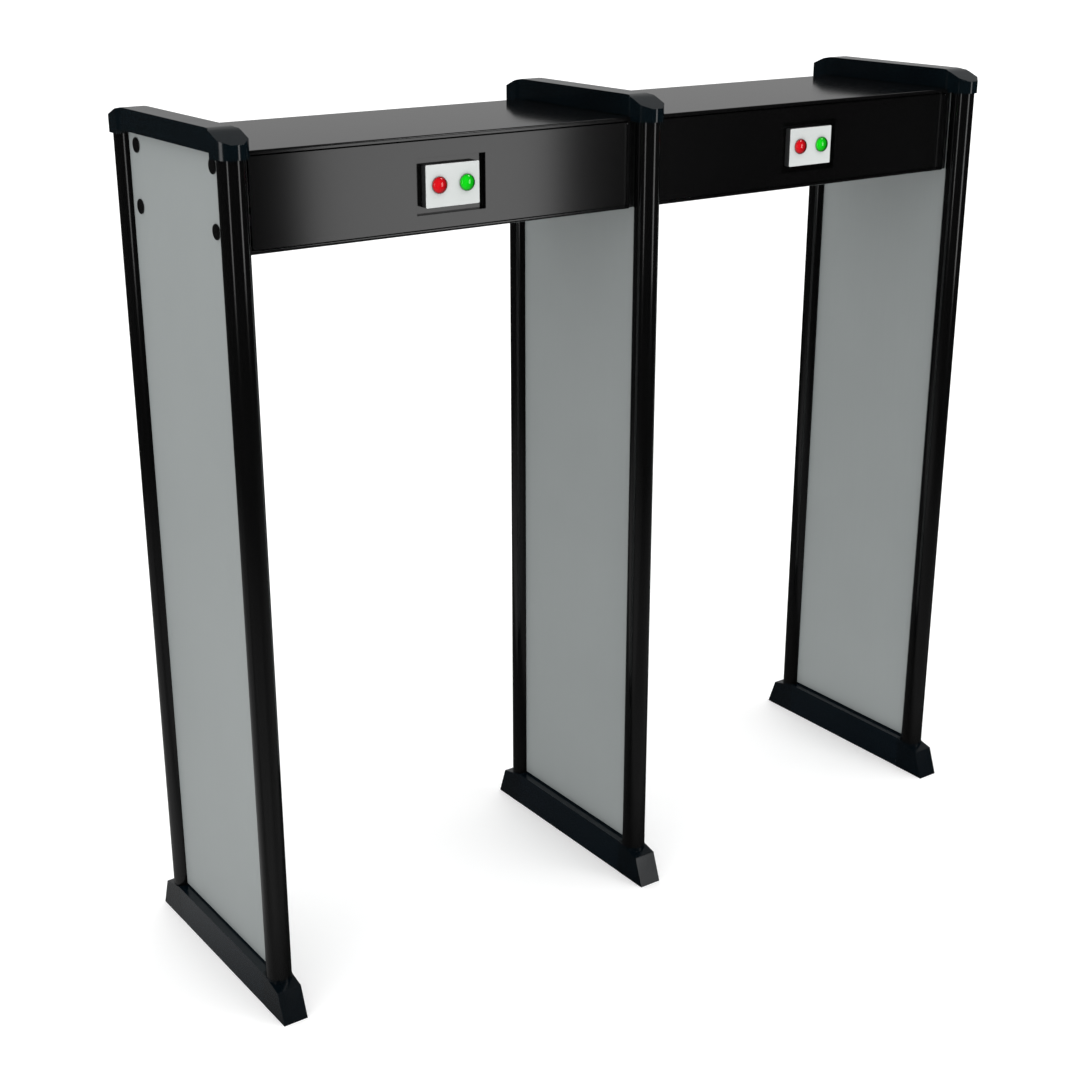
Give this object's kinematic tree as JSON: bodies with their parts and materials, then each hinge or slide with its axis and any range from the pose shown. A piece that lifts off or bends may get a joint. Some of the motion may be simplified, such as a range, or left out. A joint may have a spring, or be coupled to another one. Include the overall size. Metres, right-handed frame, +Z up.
{
  "type": "double-lane security gate",
  "caption": "Free-standing walk-through security gate: panel pillars on bar feet, joined by header beams with lift-up covers and signal lamps.",
  "frame": {"origin": "on the floor under the centre of the middle pillar", "axes": "+Z up, X across the two lanes, people walk along Y, signal lamps face -Y"},
  "size_m": [2.355, 0.72, 2.2],
  "materials": {
    "foot_bar": "blue-black satin powder coat",
    "foot_end": "blue-black satin moulding",
    "post": "black satin coated tube",
    "panel_skin": "silver-grey satin sheet",
    "panel_core": "raw fibreboard",
    "detector_coil": "enamelled copper winding",
    "top_cap": "blue-black semi-gloss moulding",
    "bolt": "black satin",
    "steel": "plain zinc-plated steel",
    "beam_shell": "gloss black coated sheet",
    "lamp_tray": "gloss black",
    "lamp_block": "white satin front on a dark grey body",
    "red_lens": "glossy translucent red",
    "green_lens": "glossy translucent green",
    "lamp_board": "green printed board",
    "control_unit": "light grey case"
  },
  "bodies": {
    "frame": {"left_foot_bar": "foot_bar", "left_foot_end_front": "foot_end", "left_foot_end_rear": "foot_end", "left_post_front": "post", "left_post_rear": "post", "left_panel_left_skin": "panel_skin", "left_panel_right_skin": "panel_skin", "left_panel_core": "panel_core", "left_detector_coil": "detector_coil", "left_top_cap": "top_cap", "left_bolt_front_top": "bolt", "left_bolt_front_low": "bolt", "left_bolt_rear_top": "bolt", "left_bolt_rear_low": "bolt", "middle_foot_bar": "foot_bar", "middle_foot_end_front": "foot_end", "middle_foot_end_rear": "foot_end", "middle_post_front": "post", "middle_post_rear": "post", "middle_panel_left_skin": "panel_skin", "middle_panel_right_skin": "panel_skin", "middle_panel_core": "panel_core", "middle_detector_coil": "detector_coil", "middle_top_cap": "top_cap", "middle_tie_bolt_front": "steel", "middle_tie_bolt_rear": "steel", "right_foot_bar": "foot_bar", "right_foot_end_front": "foot_end", "right_foot_end_rear": "foot_end", "right_post_front": "post", "right_post_rear": "post", "right_panel_left_skin": "panel_skin", "right_panel_right_skin": "panel_skin", "right_panel_core": "panel_core", "right_detector_coil": "detector_coil", "right_top_cap": "top_cap", "right_bolt_front_top": "bolt", "right_bolt_front_low": "bolt", "right_bolt_rear_top": "bolt", "right_bolt_rear_low": "bolt", "left_beam_housing": "beam_shell", "left_control_unit": "control_unit", "left_hinge_pin_left": "steel", "left_hinge_pin_right": "steel", "right_beam_housing": "beam_shell", "right_control_unit": "control_unit", "right_hinge_pin_left": "steel", "right_hinge_pin_right": "steel"},
    "left_cover": {"left_beam_cover": "beam_shell", "left_lamp_tray": "lamp_tray", "left_lamp_block": "lamp_block", "left_red_lens": "red_lens", "left_green_lens": "green_lens", "left_lamp_board": "lamp_board"},
    "right_cover": {"right_beam_cover": "beam_shell", "right_lamp_tray": "lamp_tray", "right_lamp_block": "lamp_block", "right_red_lens": "red_lens", "right_green_lens": "green_lens", "right_lamp_board": "lamp_board"}
  },
  "joints": [
    {"name": "left_cover_hinge", "type": "hinge", "parent": "frame", "child": "left_cover", "pos_m": [-0.57, -0.2544, 2.1313], "axis": [-1, 0, 0], "range_deg": [0, 90]},
    {"name": "right_cover_hinge", "type": "hinge", "parent": "frame", "child": "right_cover", "pos_m": [0.57, -0.2544, 2.1313], "axis": [-1, 0, 0], "range_deg": [0, 90]}
  ]
}
